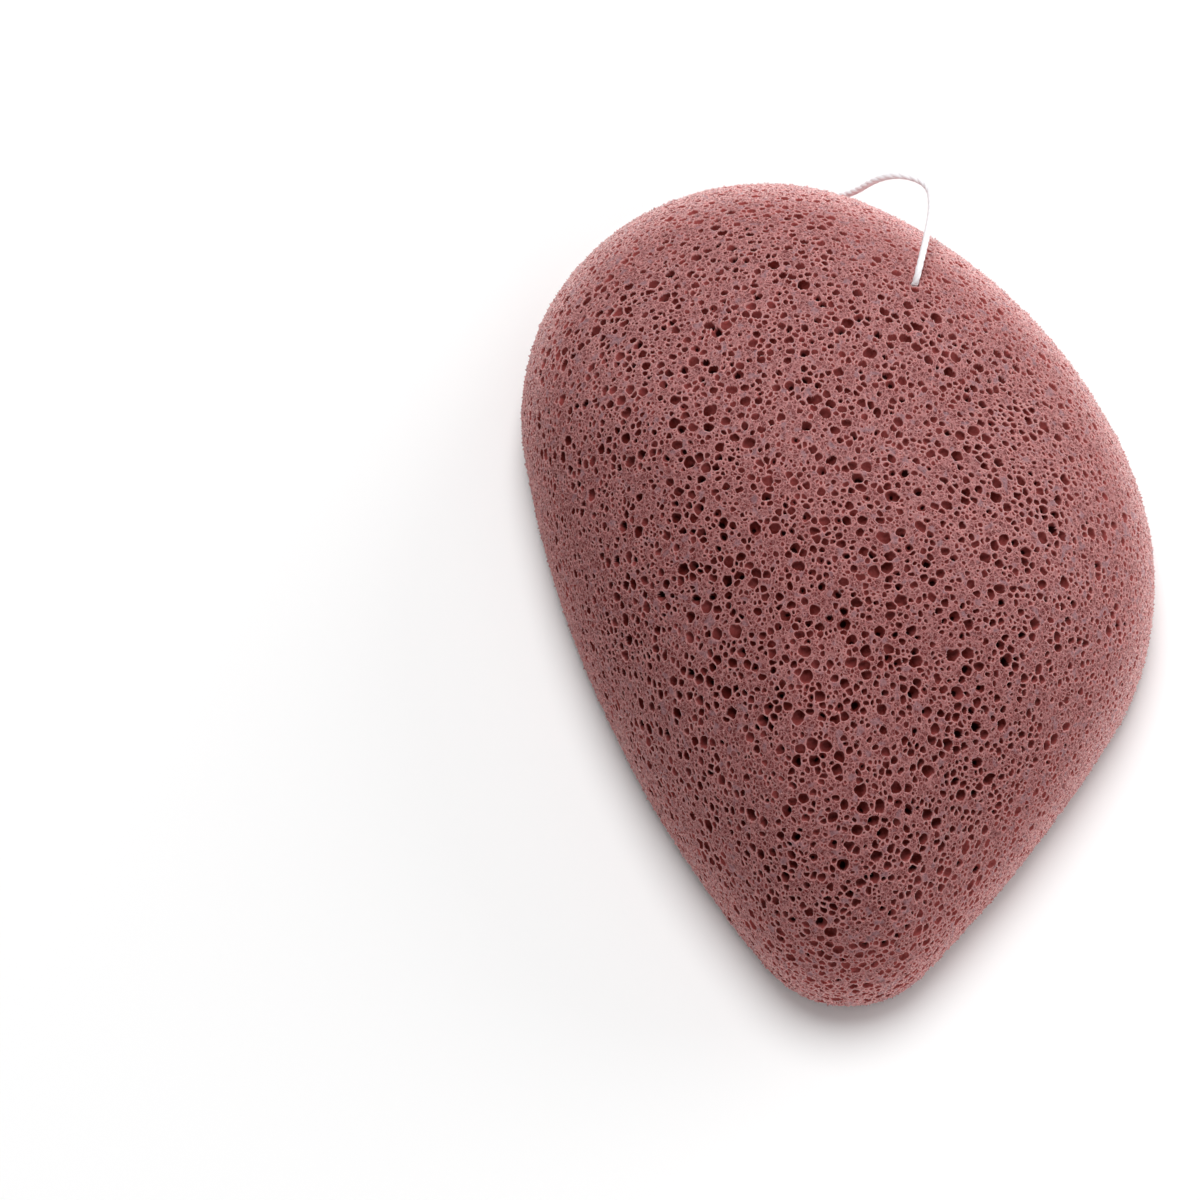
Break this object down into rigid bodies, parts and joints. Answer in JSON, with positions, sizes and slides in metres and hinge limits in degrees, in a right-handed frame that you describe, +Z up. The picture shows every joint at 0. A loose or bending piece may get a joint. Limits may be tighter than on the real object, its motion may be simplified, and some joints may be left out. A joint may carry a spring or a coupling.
{
  "type": "konjac sponge",
  "caption": "Teardrop konjac facial sponge of open-pored foam with a flat base and domed face, and a knotted cotton thread through its wide end that makes a swinging hanging loop.",
  "frame": {"origin": "centre of the foam body's box, on the plane of its flat base", "axes": "+Z up out of the base toward the domed face, -Y toward the pointed tip, +Y toward the wide end with the thread, +X to the right as seen from above"},
  "size_m": [0.0642, 0.0912, 0.0285],
  "materials": {
    "foam": "matte open-pored foam, red clay colour",
    "thread": "twisted white cotton"
  },
  "bodies": {
    "sponge": {"sponge_body": "foam"},
    "loop": {"hanging_loop": "thread", "thread_stitch": "thread", "loop_knot": "thread"}
  },
  "joints": [
    {"name": "loop_swing", "type": "hinge", "parent": "sponge", "child": "loop", "pos_m": [0.008, 0.0256, 0.02179], "axis": [0.4768, -0.6219, 0.6212], "range_deg": [0, 60]}
  ]
}
